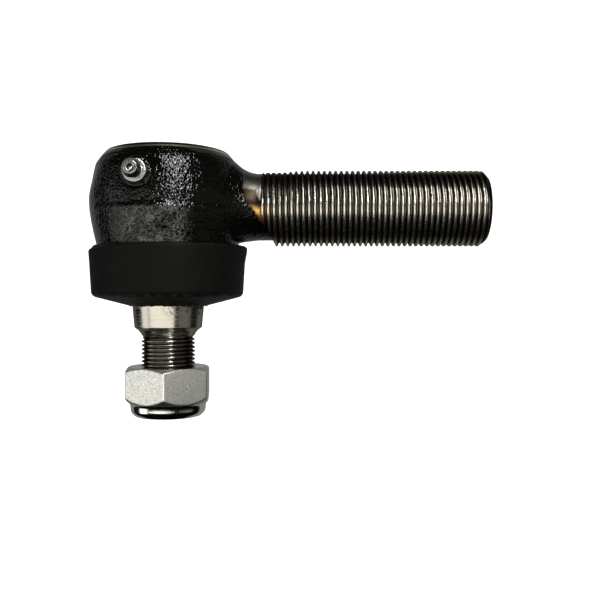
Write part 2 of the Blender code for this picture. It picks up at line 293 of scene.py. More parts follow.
def add_piece(name, points, quads, mat, body, replaced):
    """One mesh from points and quads. Doubled points are merged and the faces turned outwards.
    It rides on a body, or on none where no body is given."""
    mesh = bpy.data.meshes.new(name)
    mesh.from_pydata((points.reshape(-1, 3) * MM).tolist(), [], quads.tolist())
    shape = bmesh.new()
    shape.from_mesh(mesh)
    bmesh.ops.remove_doubles(shape, verts=shape.verts, dist=MERGE_DISTANCE)
    bmesh.ops.dissolve_degenerate(shape, dist=MERGE_DISTANCE / 4, edges=shape.edges)
    bmesh.ops.recalc_face_normals(shape, faces=shape.faces)
    shape.to_mesh(mesh)
    shape.free()
    mesh.shade_smooth()
    mesh.set_sharp_from_angle(angle=SHARP_ANGLE)
    mesh.materials.append(mat)
    obj = bpy.data.objects.new(name, mesh)
    bpy.context.scene.collection.objects.link(obj)
    if body:
        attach(obj, body)
    if replaced:
        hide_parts(*replaced)
    return obj


# ---------------------------------------------------------------- material nodes


class Finish:
    """A Principled material and short names for the nodes that feed it."""

    def __init__(self, name, colour, metallic, roughness, specular=0.5, edge=(1.0, 1.0, 1.0)):
        self.mat = bpy.data.materials.new(name)
        self.mat.use_nodes = True
        self.tree = self.mat.node_tree
        self.shader = self.tree.nodes["Principled BSDF"]
        self.shader.inputs["Base Color"].default_value = (*colour, 1.0)
        self.shader.inputs["Metallic"].default_value = metallic
        self.shader.inputs["Roughness"].default_value = roughness
        self.shader.inputs["Specular IOR Level"].default_value = specular
        self.shader.inputs["Specular Tint"].default_value = (*edge, 1.0)
        self.place = self.node("ShaderNodeTexCoord").outputs["Object"]

    def node(self, kind, **settings):
        """A new node with these settings."""
        made = self.tree.nodes.new(kind)
        for key, value in settings.items():
            setattr(made, key, value)
        return made

    def link(self, output, socket):
        """Joins an output to a socket."""
        self.tree.links.new(output, socket)

    def feed(self, socket, value):
        """Gives a socket a number, a colour or another node's output."""
        if isinstance(value, (int, float, tuple)):
            socket.default_value = value
        else:
            self.link(value, socket)

    def scaled(self, scale):
        """The object's own coordinates, scaled along each axis."""
        made = self.node("ShaderNodeMapping")
        made.inputs["Scale"].default_value = scale
        self.link(self.place, made.inputs["Vector"])
        return made.outputs["Vector"]

    def noise(self, grain, detail=3.0, roughness=0.55, stretch=(1, 1, 1), distortion=0.0):
        """Noise whose largest features are about grain millimetres, stretched along the axes."""
        made = self.node("ShaderNodeTexNoise")
        made.inputs["Scale"].default_value = 1.0
        made.inputs["Detail"].default_value = detail
        made.inputs["Roughness"].default_value = roughness
        made.inputs["Distortion"].default_value = distortion
        self.link(self.scaled([1 / (grain * MM * s) for s in stretch]), made.inputs["Vector"])
        return made.outputs["Fac"]

    def cells(self, across):
        """Distance from the middles of cells about this many millimetres across."""
        made = self.node("ShaderNodeTexVoronoi", feature="F1")
        made.inputs["Scale"].default_value = 1.0
        self.link(self.scaled([1 / (across * MM)] * 3), made.inputs["Vector"])
        return made.outputs["Distance"]

    def axis(self, name):
        """One of the object's own coordinates, in metres."""
        split = self.node("ShaderNodeSeparateXYZ")
        self.link(self.place, split.inputs["Vector"])
        return split.outputs[name]

    def calc(self, operation, a, b=0.0):
        """A sum of one or two values."""
        made = self.node("ShaderNodeMath", operation=operation)
        self.feed(made.inputs[0], a)
        self.feed(made.inputs[1], b)
        return made.outputs[0]

    def plus(self, a, b):
        """a and b added."""
        return self.calc("ADD", a, b)

    def minus(self, a, b):
        """b taken from a."""
        return self.calc("SUBTRACT", a, b)

    def times(self, a, b):
        """a and b multiplied."""
        return self.calc("MULTIPLY", a, b)

    def most(self, a, b):
        """The greater of a and b."""
        return self.calc("MAXIMUM", a, b)

    def ramp(self, value, low, high, to_low=0.0, to_high=1.0):
        """Maps a value from low..high to to_low..to_high, eased and clamped."""
        made = self.node("ShaderNodeMapRange", interpolation_type="SMOOTHSTEP")
        for socket, number in zip(list(made.inputs)[1:5], (low, high, to_low, to_high)):
            socket.default_value = number
        self.link(value, made.inputs["Value"])
        return made.outputs["Result"]

    def reach(self, value, low, high, to_low=0.0, to_high=1.0):
        """The same for a length, with low and high in millimetres."""
        return self.ramp(value, low * MM, high * MM, to_low, to_high)

    def distance(self, first, second):
        """Distance from the axis that the two named coordinates are measured from."""
        a, b = self.axis(first), self.axis(second)
        return self.calc("SQRT", self.plus(self.times(a, a), self.times(b, b)))

    def mix(self, share, first, second):
        """The first colour where share is 0 and the second where it is 1."""
        made = self.node("ShaderNodeMix", data_type="RGBA")
        self.feed(made.inputs["Factor"], share)
        for name, value in (("A", first), ("B", second)):
            socket = next(s for s in made.inputs if s.name == name and s.type == "RGBA")
            self.feed(socket, (*value, 1.0) if isinstance(value, tuple) else value)
        return next(s for s in made.outputs if s.type == "RGBA")

    def between(self, share, first, second):
        """The first number where share is 0 and the second where it is 1."""
        return self.plus(self.times(first, self.minus(1.0, share)), self.times(share, second))

    def bump(self, height, depth):
        """Chains a bump of this depth in millimetres in front of the shader's normal."""
        made = self.node("ShaderNodeBump")
        made.inputs["Distance"].default_value = depth * MM
        made.inputs["Strength"].default_value = 1.0
        self.link(height, made.inputs["Height"])
        socket = self.shader.inputs["Normal"]
        if socket.is_linked:
            self.link(socket.links[0].from_socket, made.inputs["Normal"])
        self.link(made.outputs["Normal"], socket)

    def colour(self, value):
        """Gives the shader its base colour."""
        self.link(value, self.shader.inputs["Base Color"])

    def rough(self, value):
        """Gives the shader its roughness."""
        self.link(value, self.shader.inputs["Roughness"])

    def metal(self, value):
        """Gives the shader its share of bare metal."""
        self.link(value, self.shader.inputs["Metallic"])


# ---------------------------------------------------------------- finishes


# Ranges in millimetres over which one finish gives way to the next.
PARTING_Z = (-3.2, -1.8)
PATCH_SIDE = (8, 15)
PAINT_EDGE = (-0.15, 0.15)
SHOULDER_X = (8, 17)
RIM_METAL_Z = (18.75, 18.95)
# The next range is the width of the rim's painted highlight line.
RIM_HIGHLIGHT_WIDTH = (0.2, 0.4)
# The next range is the height where the painted sheen on the neck's top begins.
NECK_TOP_Z = (5.0, 7.5)
HEAT_TOP_Z = (-3.5, 0.5)
HEAT_FOOT_Z = (-8, -6)
# The next two ranges bound the painted shade along the shank's upper side.
UPPER_SHADE_FOOT_Z = (-0.5, 4.0)
UPPER_SHADE_TOP_Z = (12.0, 13.2)
STUD_RUN_OUT_Z = (-48.9, -47.9)
STUD_TIP_Z = (-77.1, -76.9)
STUD_CREST = (9.15, 9.85)
SMUDGE_X = (-1.0, 5.0)
SMUDGE_Z = (-41.5, -38.0)
CONE_Z = (-33.2, -32.2)
COLLAR_TOP_Z = (-73.9, -73.2)
NUT_FLAT_RADIUS = (14.6, 14.95)

# Height of the rim's painted highlight line.
RIM_HIGHLIGHT_Z = 19.25
RIM_DROP = 1.7
PATCH_X = -1.0
EDGE_X = 29.2
EDGE_KNEE_Z = 3.15
EDGE_SLOPE = 0.69
EDGE_RAGGED = 2.2

# Colours that belong to one finish only.
# Painted shade for the bare neck's side.
NECK_PAINTED_SHADE = (0.012, 0.009, 0.006)
BURNT_BROWN = (0.12, 0.045, 0.012)
# Painted shade, painted reflection and painted highlight of the rim's turned metal.
RIM_PAINTED_SHADE = (0.05, 0.047, 0.04)
RIM_PAINTED_SHEEN = (0.17, 0.155, 0.12)
RIM_PAINTED_HIGHLIGHT = (0.75, 0.66, 0.5)
# Painted shade laid along the shank's upper side.
THREAD_PAINTED_SHADE = (0.03, 0.027, 0.022)
ROOT_DARK = (0.02, 0.018, 0.015)
OILED_STEEL = (0.08, 0.072, 0.06)
TAPER_SMUDGE = (0.035, 0.03, 0.025)
BOOT_BLOOM = (0.035, 0.033, 0.029)
NUT_DUST = (0.3, 0.3, 0.27)


def worn_patch(f, grain, patches):
    """1 where the paint is worn thin: speckled, below the parting line, on front and back."""
    below = f.reach(f.axis("Z"), *PARTING_Z, 1.0, 0.0)
    aside = f.calc("ABSOLUTE", f.minus(f.axis("X"), PATCH_X * MM))
    area = f.times(below, f.reach(aside, *PATCH_SIDE, 1.0, 0.0))
    return f.times(area, f.ramp(f.plus(grain, f.times(patches, 0.6)), 0.72, 1.0))


def past_paint_edge(f):
    """Distance along X past the paint's ragged edge, which slants from the neck's upper side
    down to the thread."""
    slope = f.times(f.minus(EDGE_KNEE_Z * MM, f.axis("Z")), EDGE_SLOPE)
    edge = f.plus(EDGE_X * MM, f.most(slope, 0.0))
    ragged = f.times(f.minus(f.noise(2.5), 0.5), EDGE_RAGGED * MM)
    return f.minus(f.axis("X"), f.plus(edge, ragged))


def neck_metal(f, past):
    """Bare steel of the neck: grey on top and towards the thread as a painted sheen, near black at the
    side as painted shade, and straw and brown with heat below, strongest at the paint's edge."""
    z = f.axis("Z")
    low_side = f.times(f.reach(z, *HEAT_TOP_Z, 1.0, 0.0), f.reach(z, *HEAT_FOOT_Z))
    cooled = f.ramp(f.reach(past, 0.0, 4.5), 0.0, 1.0, 1.0, 0.25)
    streaks = f.noise(0.5, 2.0, 0.5, stretch=(1, 9, 9))
    grey = f.mix(streaks, shade(tint("steel"), 0.2), shade(tint("steel"), 0.45))
    # Painted sheen and shade: grey streaked steel on top and towards the thread, painted shade
    # elsewhere on the side.
    painted_sheen = f.most(f.reach(z, *NECK_TOP_Z), f.reach(past, 4.6, 5.6))
    steel = f.mix(f.times(low_side, cooled), f.mix(painted_sheen, NECK_PAINTED_SHADE, grey), tint("straw"))
    return f.mix(f.times(f.reach(past, 0.0, 1.5, 1.0, 0.0), low_side), steel, BURNT_BROWN)


def rim_metal(f):
    """Turned metal of the rim: dark as painted shade, greyer towards the neck as a painted reflection,
    with one bright line round it as a painted highlight.
    """
    # Painted highlight: a bright tan line round the rim at one height, over metal that is dark as
    # painted shade and greyer towards the neck as a painted reflection.
    from_highlight = f.calc("ABSOLUTE", f.minus(f.axis("Z"), RIM_HIGHLIGHT_Z * MM))
    line = f.reach(from_highlight, *RIM_HIGHLIGHT_WIDTH, 1.0, 0.0)
    return f.mix(line, f.mix(f.reach(f.axis("X"), *SHOULDER_X), RIM_PAINTED_SHADE, RIM_PAINTED_SHEEN), RIM_PAINTED_HIGHLIGHT)


def forging_finish():
    """Wet black paint over a forged skin: pitted all over, thinner and greyer below the parting
    line, bare turned metal on the rim and along the neck's upper side."""
    f = Finish("forging_paint", tint("paint"), 0.0, 0.2, 0.2)
    grain = f.noise(0.9, 4.0, 0.62, distortion=0.4)
    patches = f.noise(7.0, 4.0, 0.6)
    worn = worn_patch(f, grain, patches)
    past = past_paint_edge(f)
    drop = f.reach(f.axis("X"), *SHOULDER_X, 0.0, RIM_DROP * MM)
    bare_rim = f.reach(f.plus(f.axis("Z"), drop), *RIM_METAL_Z)
    bare = f.most(f.reach(past, *PAINT_EDGE), bare_rim)
    skin = f.mix(worn, tint("paint"), tint("forged"))
    f.colour(f.mix(bare, skin, f.mix(bare_rim, neck_metal(f, past), rim_metal(f))))
    f.metal(bare)
    wet = f.ramp(grain, 0.3, 0.75, 0.04, 0.11)
    f.rough(f.between(bare, f.plus(wet, f.times(worn, 0.3)), 0.32))
    painted = f.minus(1.0, f.times(bare, 0.93))
    dimples = f.noise(0.95, 1.0, 0.5, distortion=0.3)
    pits = f.ramp(f.cells(0.9), 0.0, 0.5)
    f.bump(f.times(dimples, painted), 0.34)
    f.bump(f.times(pits, painted), 0.03)
    f.bump(f.times(patches, painted), 0.18)
    return f.mat


def shank_finish(crest, depth, neck_end, face):
    """Turned thread: bright at the crests and end face, oil-dark in the roots, with painted shade
    darkening a band along its upper side, a heat tint at the neck and fine marks."""
    tone = tint("steel")
    f = Finish("shank_steel", tone, 1.0, 0.26, edge=(0.4, 0.38, 0.34))
    x, z = f.axis("X"), f.axis("Z")
    on_face = f.reach(x, face - 0.3, face - 0.1)
    crests = f.reach(f.distance("Y", "Z"), crest - depth, crest - 0.15 * depth)
    bright = f.most(crests, on_face)
    smear = f.noise(5.0, 4.0, 0.6)
    marks = f.noise(0.35, 2.0, 0.5)
    dark = f.mix(smear, tint("oil"), shade(tint("oil"), 2.6))
    light = f.mix(smear, shade(tone, 0.85), shade(tone, 1.3))
    heat = f.reach(x, neck_end, neck_end + 5.0, 0.4, 0.0)
    heat = f.times(heat, f.reach(z, -2.0, 1.0, 1.0, 0.0))
    base = f.mix(f.times(heat, bright), f.mix(bright, dark, light), tint("straw"))
    # Painted shade: a dark band along the thread's upper side, mixed over the base colour.
    upper = f.times(f.reach(z, *UPPER_SHADE_FOOT_Z), f.reach(z, *UPPER_SHADE_TOP_Z, 1.0, 0.0))
    upper_shade = f.times(upper, f.reach(x, face - 0.3, face - 0.1, 0.72, 0.0))
    f.colour(f.mix(upper_shade, base, THREAD_PAINTED_SHADE))
    f.rough(f.ramp(marks, 0.25, 0.75, 0.16, 0.36))
    f.bump(marks, 0.02)
    return f.mat


def stud_finish():
    """The stud: ground taper with dark smudges, machined run-out, oiled thread, polished ball."""
    tone = tint("steel")
    f = Finish("stud_steel", tone, 1.0, 0.22, edge=(0.4, 0.38, 0.34))
    z = f.axis("Z")
    thread = f.reach(z, *STUD_RUN_OUT_Z, 1.0, 0.0)
    crest = f.reach(f.distance("X", "Y"), *STUD_CREST)
    cut = f.times(thread, f.reach(z, *STUD_TIP_Z))
    groove = f.times(cut, f.minus(1.0, crest))
    rings = f.noise(0.28, 2.0, 0.5, stretch=(60, 60, 1))
    smudge = f.ramp(f.noise(4.2, 5.0, 0.7, distortion=0.8), 0.47, 0.6)
    area = f.times(f.reach(f.axis("X"), *SMUDGE_X), f.reach(z, *SMUDGE_Z))
    dirt = f.times(smudge, area)
    clean = f.mix(rings, shade(tone, 0.6), shade(tone, 1.02))
    oiled = f.mix(f.times(thread, 0.55), f.mix(groove, clean, ROOT_DARK), OILED_STEEL)
    f.colour(f.mix(f.times(dirt, 0.85), oiled, TAPER_SMUDGE))
    f.rough(f.ramp(f.plus(rings, f.times(dirt, 0.6)), 0.2, 1.1, 0.14, 0.5))
    f.bump(rings, 0.018)
    return f.mat


def boot_finish():
    """Matte moulded rubber with a soft mottle and a greyer bloom on the cone."""
    f = Finish("boot_rubber", tint("rubber"), 0.0, 0.5, 0.05)
    mottle = f.noise(3.0, 5.0, 0.65, distortion=0.5)
    cone = f.reach(f.axis("Z"), *CONE_Z, 1.0, 0.0)
    bloom = f.times(cone, f.ramp(mottle, 0.4, 0.7))
    base = f.mix(mottle, tint("rubber"), shade(tint("rubber"), 2.0))
    f.colour(f.mix(bloom, base, BOOT_BLOOM))
    f.rough(f.ramp(mottle, 0.3, 0.7, 0.45, 0.7))
    f.bump(f.noise(0.4, 3.0, 0.6), 0.05)
    f.bump(mottle, 0.18)
    return f.mat


def fitting_finish():
    """Dull zinc plate: fine frosting in the colour and bump, with slow clouds."""
    f = Finish("fitting_zinc", tint("zinc"), 1.0, 0.3)
    grain = f.noise(0.4, 5.0, 0.7)
    base = f.mix(f.noise(5.6, 3.0), shade(tint("zinc"), 0.4), shade(tint("zinc"), 0.52))
    f.colour(f.mix(f.ramp(grain, 0.35, 0.7), shade(tint("zinc"), 0.25), base))
    f.rough(f.ramp(grain, 0.3, 0.7, 0.18, 0.42))
    f.bump(grain, 0.03)
    return f.mat


def nut_finish():
    """The nut: frosted on the flats, smooth and shiny on the collar and chamfers."""
    f = Finish("nut_zinc", tint("zinc"), 1.0, 0.3, edge=(0.9, 0.9, 0.85))
    above_collar = f.reach(f.axis("Z"), *COLLAR_TOP_Z)
    frosted = f.times(above_collar, f.reach(f.distance("X", "Y"), *NUT_FLAT_RADIUS))
    grain = f.noise(0.55, 5.0, 0.72)
    base = f.mix(f.noise(6.0, 4.0), shade(tint("zinc"), 0.76), tint("zinc"))
    dusty = f.times(frosted, f.ramp(grain, 0.42, 0.7))
    f.colour(f.mix(dusty, base, NUT_DUST))
    f.rough(f.plus(f.times(frosted, f.ramp(grain, 0.3, 0.7, 0.12, 0.3)), 0.13))
    f.bump(f.times(grain, f.ramp(frosted, 0.0, 1.0, 0.12, 1.0)), 0.15)
    return f.mat


def plain_finish(name, colour, metallic, roughness, grain, depth):
    """A finish for a hidden piece: two close tones, roughness that wanders between two values,
    and a grain of this size and depth in millimetres."""
    f = Finish(name, colour, metallic, sum(roughness) / 2)
    texture = f.noise(grain, 4.0, 0.6)
    f.colour(f.mix(texture, shade(colour, 0.75), shade(colour, 1.2)))
    f.rough(f.ramp(texture, 0.3, 0.7, *roughness))
    f.bump(texture, depth)
    return f.mat


# ---------------------------------------------------------------- the forging


def socket_radius(z):
    """Outer radius of the forging at a height, read from its barrel's main radii."""
    heights = [-15.0, -12.5, -9.0, -6.0, -2.5, 0.6, 3.5, 6.3, 9.6, 13.0, 15.0, 16.2, 17.4, 18.8]
    radii = [26.2, 26.75, 27.6, 28.25, 28.8, 29.0, 29.02, 28.6, 27.9, 27.2, 26.75, 26.2, 25.5, 24.4]
    return np.interp(z, heights, radii)


def socket_section(rim_radius):
    """The socket's closed section: rim, barrel smoothed over five points, skirt and bore."""
    heights = np.arange(16.5, -15.2, -0.3)
    barrel = np.column_stack([socket_radius(heights), heights])
    barrel[2:-2, 0] = np.convolve(barrel[:, 0], np.ones(5) / 5, "valid")
    rim = rounded([(20.3, 20.6, 0.5), (rim_radius, 20.6, 0.5), (24.4, 18.8, 0.6), (25.7, 17.1, 0.5)])
    skirt = rounded([(26.2, -22.8, 0.6), (23.7, -25.3, 0.6), (20.6, -25.3, 0.6), (16.2, -11.5, 0.3)])
    bore = rounded([
        (16.2, -10.19, 0.3), (21.6, -5.74, 0.3), (21.6, 16.0, 0.1),
        (22.9, 16.0, 0.1), (22.9, 19.2, 0.1), (20.3, 19.2, 0.3),
    ])
    outside = refined(np.vstack([rim, barrel, skirt]), 0.5, closed=False)
    return np.vstack([outside, refined(bore, 2.0, closed=False)])


def socket_shell(rim_radius, columns=330):
    """The socket's section turned about Z. Forged dents push the barrel in and out by smooth
    noise, and a low shelf is worn into its front and back below the parting line."""
    section = socket_section(rim_radius)
    grid = turned(section, columns)
    outer = smoothstep(section[:, 0], 25.4, 26.2) * smoothstep(section[:, 1], -15.0, -13.5)
    outer = outer * smoothstep(-section[:, 1], -18.0, -16.5)
    dents = 0.10 * lattice_noise(grid, 5.0, 3) + 0.05 * lattice_noise(grid, 1.7, 5)
    z = grid[..., 2]
    facing = smoothstep(np.abs(grid[..., 1]) / np.hypot(grid[..., 0], grid[..., 1]), 0.45, 0.8)
    shelf = 0.14 - 0.5 * smoothstep(z, -2.7, -0.2) * smoothstep(-z, -13.0, -2.0)
    shelf = shelf * smoothstep(z, -13.0, -4.0) * smoothstep(-z, -14.5, -12.0)
    dents = (dents + shelf * facing) * outer[:, None]
    grid[..., :2] *= (1 + dents / np.maximum(section[:, :1], 1.0))[..., None]
    return grid


def neck_shell(neck_radius, columns=160):
    """The neck as rings round the shank's axis. Each ring column leaves the barrel along its
    surface and turns into the plain neck on a cubic curve; a dished cap closes it inside."""
    base_radius, sunk, lift, neck_start, tip_x = 17.2, 0.12, 0.5, 34.3, 41.0
    phi = angles(columns)
    y, z = base_radius * np.cos(phi), base_radius * np.sin(phi) + 1.0
    z = np.clip(z, -13.2, 30.0)
    skin = socket_radius(z) - sunk
    start = np.stack([np.sqrt(skin**2 - y**2), y, z], axis=-1)
    side = np.stack([np.zeros(columns), np.cos(phi), np.sin(phi)], axis=-1)
    end = side * neck_radius + np.array([neck_start, 0.0, lift])
    inward = end - start
    inward[:, 0] = 0.0
    normal = np.stack([start[:, 0] / skin, start[:, 1] / skin, 0 * phi], axis=-1)
    inward -= (inward * normal).sum(-1, keepdims=True) * normal
    reach = np.array([5.2, 0.0, 0.0])
    swell = np.stack([0.5 + 2.0 * smoothstep(z, 4.0, 18.0), 0 * phi, 0 * phi], axis=-1)
    pulls = [start, start + inward * 0.4 + swell, end - reach + side * 0.6, end]
    t = np.linspace(0, 1, 26)[:, None, None]
    weights = [(1 - t) ** 3, 3 * t * (1 - t) ** 2, 3 * t * t * (1 - t), t**3]
    fillet = sum(weight * pull for weight, pull in zip(weights, pulls))
    run_x = np.array([35.0, 35.8, 36.6, 37.6, 38.8, 40.0, tip_x])[:, None]
    shrink = 0.75 * smoothstep(run_x, 36.0, 37.5) * smoothstep(np.sin(phi)[None, :], -0.85, -0.2)
    radius = neck_radius - shrink
    run = np.stack([run_x + 0 * radius, radius * np.cos(phi), radius * np.sin(phi) + lift], axis=-1)
    tip = np.zeros((1, columns, 3))
    tip[..., 0] = tip_x
    share = np.linspace(0, 1, 8)[:, None]
    cap_y, cap_z = share * y, share * z
    cap = np.stack([np.sqrt(24.6**2 - cap_y**2), cap_y, cap_z], axis=-1)
    grid = np.vstack([cap, fillet, run, tip])
    forged = smoothstep(40.5 - grid[..., 0], 0.5, 3.0) * smoothstep(grid[..., 0], 23.0, 27.0)
    dents = 1 + 0.08 * lattice_noise(grid, 3.0, 11) * forged / 13.0
    grid[..., 1:] *= dents[..., None]
    return grid


def boss_shell(columns=64):
    """The low boss under the grease fitting: a disc with a soft edge, sunk into the barrel."""
    section = rounded([
        (0.0, 29.05, 0), (5.3, 29.0, 0.9), (6.3, 26.8, 0.3), (6.3, 23.5, 0.2), (0.0, 23.5, 0),
    ])
    return along_fitting(turned(refined(section, 0.6, closed=False), columns))


class TIEROD_OT_forging(bpy.types.Operator):
    """Build the forged socket with its rolled rim, fitting boss and neck"""

    bl_idname = "tierod.forging"
    bl_label = "Forging"

    def execute(self, context):
        points, quads = shell_faces([
            (socket_shell(size("rim_radius")), True),
            (neck_shell(size("neck_radius")), False),
            (boss_shell(), False),
        ])
        mat = forging_finish()
        add_piece("forged_socket", points, quads, mat, "socket", ["housing"])
        return {"FINISHED"}


# ---------------------------------------------------------------- threads


# Share of a pitch and share of the thread's depth, from the middle of one root to the next.
THREAD_FORM = (
    (0.0, 0.0), (0.08, 0.0), (0.2, 0.32), (0.33, 0.87), (0.37, 0.96), (0.42, 1.0),
    (0.58, 1.0), (0.63, 0.96), (0.67, 0.87), (0.8, 0.32), (0.92, 0.0),
)
DEPTH_PER_PITCH = 0.6134
THREAD_COLUMNS = 96


def thread_grid(start, end, crest, pitch, limit):
    """Helical right-hand thread along +Z. A row's height rises by one pitch round the turn, and
    its radius follows the thread form; heights stop at the two ends, where limit closes them."""
    depth = DEPTH_PER_PITCH * pitch
    share, rise = np.array(THREAD_FORM).T
    turns = int((end - start) / pitch) + 3
    base = (np.arange(turns)[:, None] - 1 + share[None, :]).reshape(-1, 1)
    form = np.tile(rise, turns)[:, None]
    theta = angles(THREAD_COLUMNS)[None, :]
    height = start + (base + theta / TURN) * pitch
    radius = crest - depth + depth * form + 0 * theta
    radius = np.minimum(radius, limit(np.clip(height, start, end), theta))
    height = np.clip(height, start, end)
    return np.stack([radius * np.cos(theta), radius * np.sin(theta), height], axis=-1)


def thread_faces(lead, grid, tail):
    """Points and quads of a helical grid between two turned sections. Where its columns meet
    after one turn, each row joins the row one pitch further on."""
    rows, columns = grid.shape[:2]
    points = np.concatenate([turned(lead, columns), grid, turned(tail, columns)])
    index = np.arange(len(points) * columns).reshape(-1, columns)
    ahead = np.roll(index, -1, axis=1)
    first, last = len(lead), len(lead) + rows
    shifted = np.minimum(np.arange(first, last) + len(THREAD_FORM), last - 1)
    ahead[first:last, -1] = index[shifted, 0]
    quads = np.stack([index[:-1], ahead[:-1], ahead[1:], index[1:]], axis=-1)
    return points, quads.reshape(-1, 4)


class TIEROD_OT_shank(bpy.types.Operator):
    """Build the threaded shank with its slanted run-out and chamfered end"""

    bl_idname = "tierod.shank"
    bl_label = "Threaded Shank"

    def execute(self, context):
        crest, pitch, end = size("shank_radius"), size("shank_pitch"), size("shank_end")
        start, hidden, chamfer, neck_end = 33.6, 11.4, 2.0, 37.0

        def limit(x, theta):
            """The thread starts later below than above, is shallow on top, and ends in a chamfer."""
            up = -np.cos(theta)
            begin = 35.4 + 4.4 * smoothstep(-up, 0.25, 1.0)
            shallow = crest - 0.75 * (1 - smoothstep(x, 42.0, 51.0)) * smoothstep(up, -0.2, 0.8)
            risen = hidden + (shallow - hidden) * smoothstep(x, begin - 0.4, begin + 0.6)
            return np.minimum(risen, crest + end - chamfer - x)

        grid = thread_grid(start, end, crest, pitch, limit)
        lead = np.array([(0.0, start), (hidden * 0.5, start), (hidden, start)])
        face = crest - chamfer
        tail = np.array([
            (face, end), (face - 0.25, end), (face * 0.5, end),
            (2.0, end), (1.2, end - 1.2), (0.0, end - 2.0),
        ])
        points, quads = thread_faces(lead, grid, tail)
        mat = shank_finish(crest, DEPTH_PER_PITCH * pitch, neck_end, end)
        add_piece("threaded_shank", along_x(points), quads, mat, "socket", [])
        return {"FINISHED"}


class TIEROD_OT_stud(bpy.types.Operator):
    """Build the ball stud: ball, neck, taper and thread"""

    bl_idname = "tierod.stud"
    bl_label = "Ball Stud"

    def execute(self, context):
        crest, pitch = size("stud_radius"), size("stud_pitch")
        low, high, ball_radius, ball_flat = -77.2, -48.3, 17.5, 15.5

        def limit(z, theta):
            """A chamfer at the thread's end and a slow run-out under the taper."""
            return np.minimum(crest - 1.3 + z - low, 9.35 + (high - z) * 0.42)

        grid = thread_grid(low, high, crest, pitch, limit)
        lead = np.array([
            (0.0, low + 1.2), (1.0, low + 0.9), (1.6, low), (crest - 1.5, low), (crest - 1.3, low),
        ])
        body = rounded([
            (9.35, high, 0), (9.75, -48.0, 0.3), (10.35, -47.0, 0.5), (11.2, -45.9, 0.4),
            (12.6, -44.95, 0.08), (12.65, -44.7, 0.1), (13.62, -34.4, 0.4), (13.0, -33.6, 0.4),
            (11.2, -32.2, 0.6), (10.5, -30.5, 0.8),
        ])
        polar = np.radians(np.linspace(143.1, 27.7, 60))
        ball = ball_radius * np.column_stack([np.sin(polar), np.cos(polar)])
        tail = refined(np.vstack([body, ball, [(6.0, ball_flat), (0.0, ball_flat)]]), 0.8, closed=False)
        points, quads = thread_faces(lead, grid, tail)
        mat = stud_finish()
        add_piece("ball_stud_steel", points, quads, mat, "stud", ["ball_stud"])
        return {"FINISHED"}


# ---------------------------------------------------------------- boot, nut, fitting


def boot_shell():
    """The boot's section turned about Z. Slow waves push its wall in, its upper edge is skewed
    along X, and its lip ends in a ragged moulding flash."""
    section = rounded([
        (26.35, -14.75, 0.2), (27.6, -14.52, 0.6), (29.38, -15.0, 1.5), (28.3, -32.3, 0.9),
        (27.2, -33.45, 0.9), (14.35, -36.78, 0.2), (13.72, -36.72, 0.1), (13.72, -36.15, 0.1),
        (17.0, -35.4, 0.4), (25.6, -32.5, 0.6), (26.55, -30.9, 0.8), (26.55, -19.7, 0.1),
        (27.95, -19.7, 0.1), (27.95, -16.9, 0.1), (26.55, -16.9, 0.1),
    ])
    grid = turned(refined(section, 0.5), 260)
    out = np.hypot(grid[..., 0], grid[..., 1])
    wall = smoothstep(grid[..., 2], -36.0, -34.0) * smoothstep(out, 27.0, 28.2)
    waves = 0.10 * lattice_noise(grid * np.array([1, 1, 0.3]), 9.0, 21) - 0.1
    grid[..., :2] *= (1 + waves * wall / 28.5)[..., None]
    out = np.hypot(grid[..., 0], grid[..., 1])
    side = grid[..., 0] / out
    upper = smoothstep(grid[..., 2], -21.5, -16.0) * smoothstep(out, 27.5, 28.5)
    grid[..., 2] += upper * np.where(side < 0, 1.0, 0.4) * side
    grid[..., 0] += 0.6 * upper * smoothstep(side, 0.3, 1.0)
    flash = smoothstep(-grid[..., 2], 36.2, 36.6) * smoothstep(-out, -15.0, -14.2)
    ragged = lattice_noise(grid * np.array([1, 1, 0]), 1.3, 8)
    grid[..., 2] -= flash * np.clip(ragged, 0, 1) * 0.45
    return grid


class TIEROD_OT_boot(bpy.types.Operator):
    """Build the rubber boot"""

    bl_idname = "tierod.boot"
    bl_label = "Dust Boot"

    def execute(self, context):
        points, quads = shell_faces([(boot_shell(), True)])
        mat = boot_finish()
        boot = add_piece("rubber_boot", points, quads, mat, None, ["dust_boot"])
        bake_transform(boot)
        return {"FINISHED"}


class TIEROD_OT_nut(bpy.types.Operator):
    """Build the lock nut with its rolled collar, and its nylon insert"""

    bl_idname = "tierod.nut"
    bl_label = "Lock Nut"

    def execute(self, context):
        corner = context.scene.tie_rod_sizes.nut_turn - math.pi / 2
        section = rounded([
            (11.4, -59.5, 0.15), (14.5, -59.5, 0.25), (17.45, -61.2, 0.3), (17.45, -70.6, 0.3),
            (14.25, -73.6, 0.5), (14.1, -74.6, 0.6), (13.95, -76.6, 1.6), (12.3, -78.2, 0.9),
            (11.4, -77.95, 0.3), (11.4, -77.4, 0.1), (12.8, -77.4, 0.1), (12.8, -73.7, 0.1),
            (10.25, -73.7, 0.2), (10.25, -60.6, 0.3),
        ])
        grid = hexagonal(refined(section, 0.45), size("nut_flats"), corner, 480, 0.22)
        points, quads = shell_faces([(grid, True)])
        add_piece("zinc_lock_nut", points, quads, nut_finish(), "nut", ["lock_nut"])
        ring = rounded([
            (12.5, -74.0, 0.2), (12.5, -77.1, 0.2), (10.32, -77.1, 0.5), (10.32, -74.0, 0.5),
        ])
        points, quads = shell_faces([(turned(refined(ring, 0.5), 160), True)])
        mat = plain_finish("insert_nylon", tint("nylon"), 0.0, (0.35, 0.55), 1.5, 0.03)
        replaced = ["nylon_insert"]
        add_piece("locking_insert", points, quads, mat, "nut_thread", replaced)
        return {"FINISHED"}


